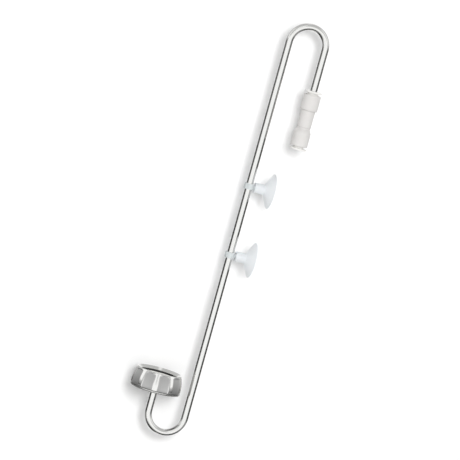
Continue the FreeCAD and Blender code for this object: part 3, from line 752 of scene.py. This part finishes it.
spring = fitted(
    "poppet_spring_wound", grown("poppet_spring_wound", nothing, tree, spring_sizes), spring_steel,
    "spring_steel", "check_valve", "poppet_spring")
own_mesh(spring)

# ---- studio ----
# A white card close behind the diffuser takes its soft shadow, and a pale floor lies below it.
# The surroundings are a bright tent with a dark gap round the card, which draws the tube's dark edge lines.

card_y = 23.5 * MM
card_half = 1.6
floor_z = -0.46
floor_half = 4.0

card_paper, tree = bare_finish("white_card")
card_paper.use_backface_culling = False
seen_from_behind = add(tree, "ShaderNodeNewGeometry").outputs["Backfacing"]
paper = add(tree, "ShaderNodeBsdfDiffuse", {"Color": linear("#F9F9F9")})
through = add(tree, "ShaderNodeMixShader", {
    0: seen_from_behind, 1: paper, 2: add(tree, "ShaderNodeBsdfTransparent")})
add(tree, "ShaderNodeOutputMaterial", {"Surface": through})
card_mesh = bpy.data.meshes.new("card")
card_mesh.from_pydata(
    [(-card_half, card_y, floor_z), (card_half, card_y, floor_z),
     (card_half, card_y, card_half), (-card_half, card_y, card_half)], [], [(0, 1, 2, 3)])
card_mesh.materials.append(card_paper)
card = bpy.data.objects.new("card", card_mesh)
card.visible_glossy = False
scene.collection.objects.link(card)

floor_paint, tree = bare_finish("pale_floor")
skin = add(tree, "ShaderNodeBsdfPrincipled", {"Base Color": linear("#EDEDEC"), "Roughness": 0.8})
add(tree, "ShaderNodeOutputMaterial", {"Surface": skin})
floor_mesh = bpy.data.meshes.new("floor")
floor_mesh.from_pydata(
    [(-floor_half, -floor_half, floor_z), (floor_half, -floor_half, floor_z),
     (floor_half, floor_half, floor_z), (-floor_half, floor_half, floor_z)], [], [(0, 1, 2, 3)])
floor_mesh.materials.append(floor_paint)
floor = bpy.data.objects.new("floor", floor_mesh)
floor.visible_glossy = False
scene.collection.objects.link(floor)

world = bpy.data.worlds.new("tent")
world.use_nodes = True
scene.world = world
tree = world.node_tree
tree.nodes.clear()
toward = add(tree, "ShaderNodeTexCoord").outputs["Generated"]
turned = add(tree, "ShaderNodeVectorRotate", {
    "Vector": toward, "Angle": -camera_azimuth}, rotation_type="Z_AXIS")
part = add(tree, "ShaderNodeSeparateXYZ", {"Vector": turned}).outputs
forward = add(tree, "ShaderNodeMath", {0: part["Y"], 1: -1.0}, operation="MULTIPLY")
aside = add(tree, "ShaderNodeMath", {0: part["X"], 1: forward}, operation="ARCTAN2")
aside = add(tree, "ShaderNodeMath", {0: aside}, operation="ABSOLUTE")
aside = add(tree, "ShaderNodeMath", {0: aside, 1: math.pi}, operation="DIVIDE")
height = add(tree, "ShaderNodeMath", {0: part["Z"]}, operation="ARCSINE")
height = add(tree, "ShaderNodeMath", {0: height, 1: 1 / math.pi, 2: 0.5}, operation="MULTIPLY_ADD")


def profile(tree, position, stops):
    """A grey level along a run of (degrees, level) stops, over the span of the first and last."""
    ramp = add(tree, "ShaderNodeValToRGB", {"Fac": position})
    first, last = stops[0][0], stops[-1][0]
    while len(ramp.color_ramp.elements) < len(stops):
        ramp.color_ramp.elements.new(0.5)
    for element, (degrees, level) in zip(ramp.color_ramp.elements, stops):
        element.position = (degrees - first) / (last - first)
        element.color = (level, level, level, 1.0)
    return ramp


front = profile(tree, aside, ((0, 1), (50, 1), (72, 0), (180, 0)))
strip = profile(tree, aside, ((0, 0.55), (5, 1), (14, 1), (24, 0), (180, 0)))
behind = profile(tree, aside, ((0, 0), (135, 0), (160, 0.8), (180, 0.9)))
front_level = profile(tree, height, (
    (-90, 0.0), (-54, 0.08), (-32, 1.0), (8, 1.0), (26, 0.38), (60, 0.4), (90, 0.42)))
strip_level = profile(tree, height, ((-90, 0), (-40, 0.3), (-20, 1.0), (44, 1.0), (60, 0.2), (90, 0.2)))
rest_level = profile(tree, height, (
    (-90, 0.01), (-44, 0.02), (-32, 0.24), (-17, 0.26), (-12, 0.04), (-3, 0.05), (2, 0.36), (12, 0.55),
    (90, 0.5)))
side = profile(tree, aside, ((0, 0), (62, 0), (70, 1), (88, 1), (100, 0.5), (180, 0.5)))
side_level = profile(tree, height, ((-90, 0), (1, 0), (9, 1.0), (45, 1.0), (60, 0), (90, 0)))
front = add(tree, "ShaderNodeMath", {0: front, 1: front_level}, operation="MULTIPLY")
strip = add(tree, "ShaderNodeMath", {0: strip, 1: strip_level}, operation="MULTIPLY")
side = add(tree, "ShaderNodeMath", {0: side, 1: side_level}, operation="MULTIPLY")
panels = add(tree, "ShaderNodeMath", {0: front, 1: strip}, operation="MAXIMUM")
panels = add(tree, "ShaderNodeMath", {0: panels, 1: side}, operation="MAXIMUM")
panels = add(tree, "ShaderNodeMath", {0: panels, 1: behind}, operation="MAXIMUM")
panels = add(tree, "ShaderNodeMath", {0: panels, 1: rest_level}, operation="MAXIMUM")
shown_in_metal = add(tree, "ShaderNodeBackground", {"Color": panels, "Strength": 1.25})
even = add(tree, "ShaderNodeBackground", {"Color": (1, 1, 1, 1), "Strength": 0.42})
plain = add(tree, "ShaderNodeBackground", {"Color": (1, 1, 1, 1), "Strength": 1.0})
ray = add(tree, "ShaderNodeLightPath").outputs
lit = add(tree, "ShaderNodeMixShader", {0: ray["Is Diffuse Ray"], 1: shown_in_metal, 2: even})
add(tree, "ShaderNodeOutputWorld", {
    "Surface": add(tree, "ShaderNodeMixShader", {0: ray["Is Camera Ray"], 1: lit, 2: plain})})

key_azimuth = math.radians(-3.5)
key_elevation = math.radians(15.0)
key_distance = 2.6
key_side = 0.88
key_watts = 41.0
key_data = bpy.data.lights.new("key", "AREA")
key_data.shape = "SQUARE"
key_data.size = key_side
key_data.energy = key_watts
key = bpy.data.objects.new("key", key_data)
to_key = Vector((
    math.sin(key_azimuth) * math.cos(key_elevation), -math.cos(key_azimuth) * math.cos(key_elevation),
    math.sin(key_elevation)))
key.location = camera_target + to_key * key_distance
key.rotation_mode = "QUATERNION"
key.rotation_quaternion = to_key.to_track_quat("Z", "Y")
scene.collection.objects.link(key)
key.visible_glossy = False

scene.view_settings.view_transform = "Standard"
scene.view_settings.look = "None"
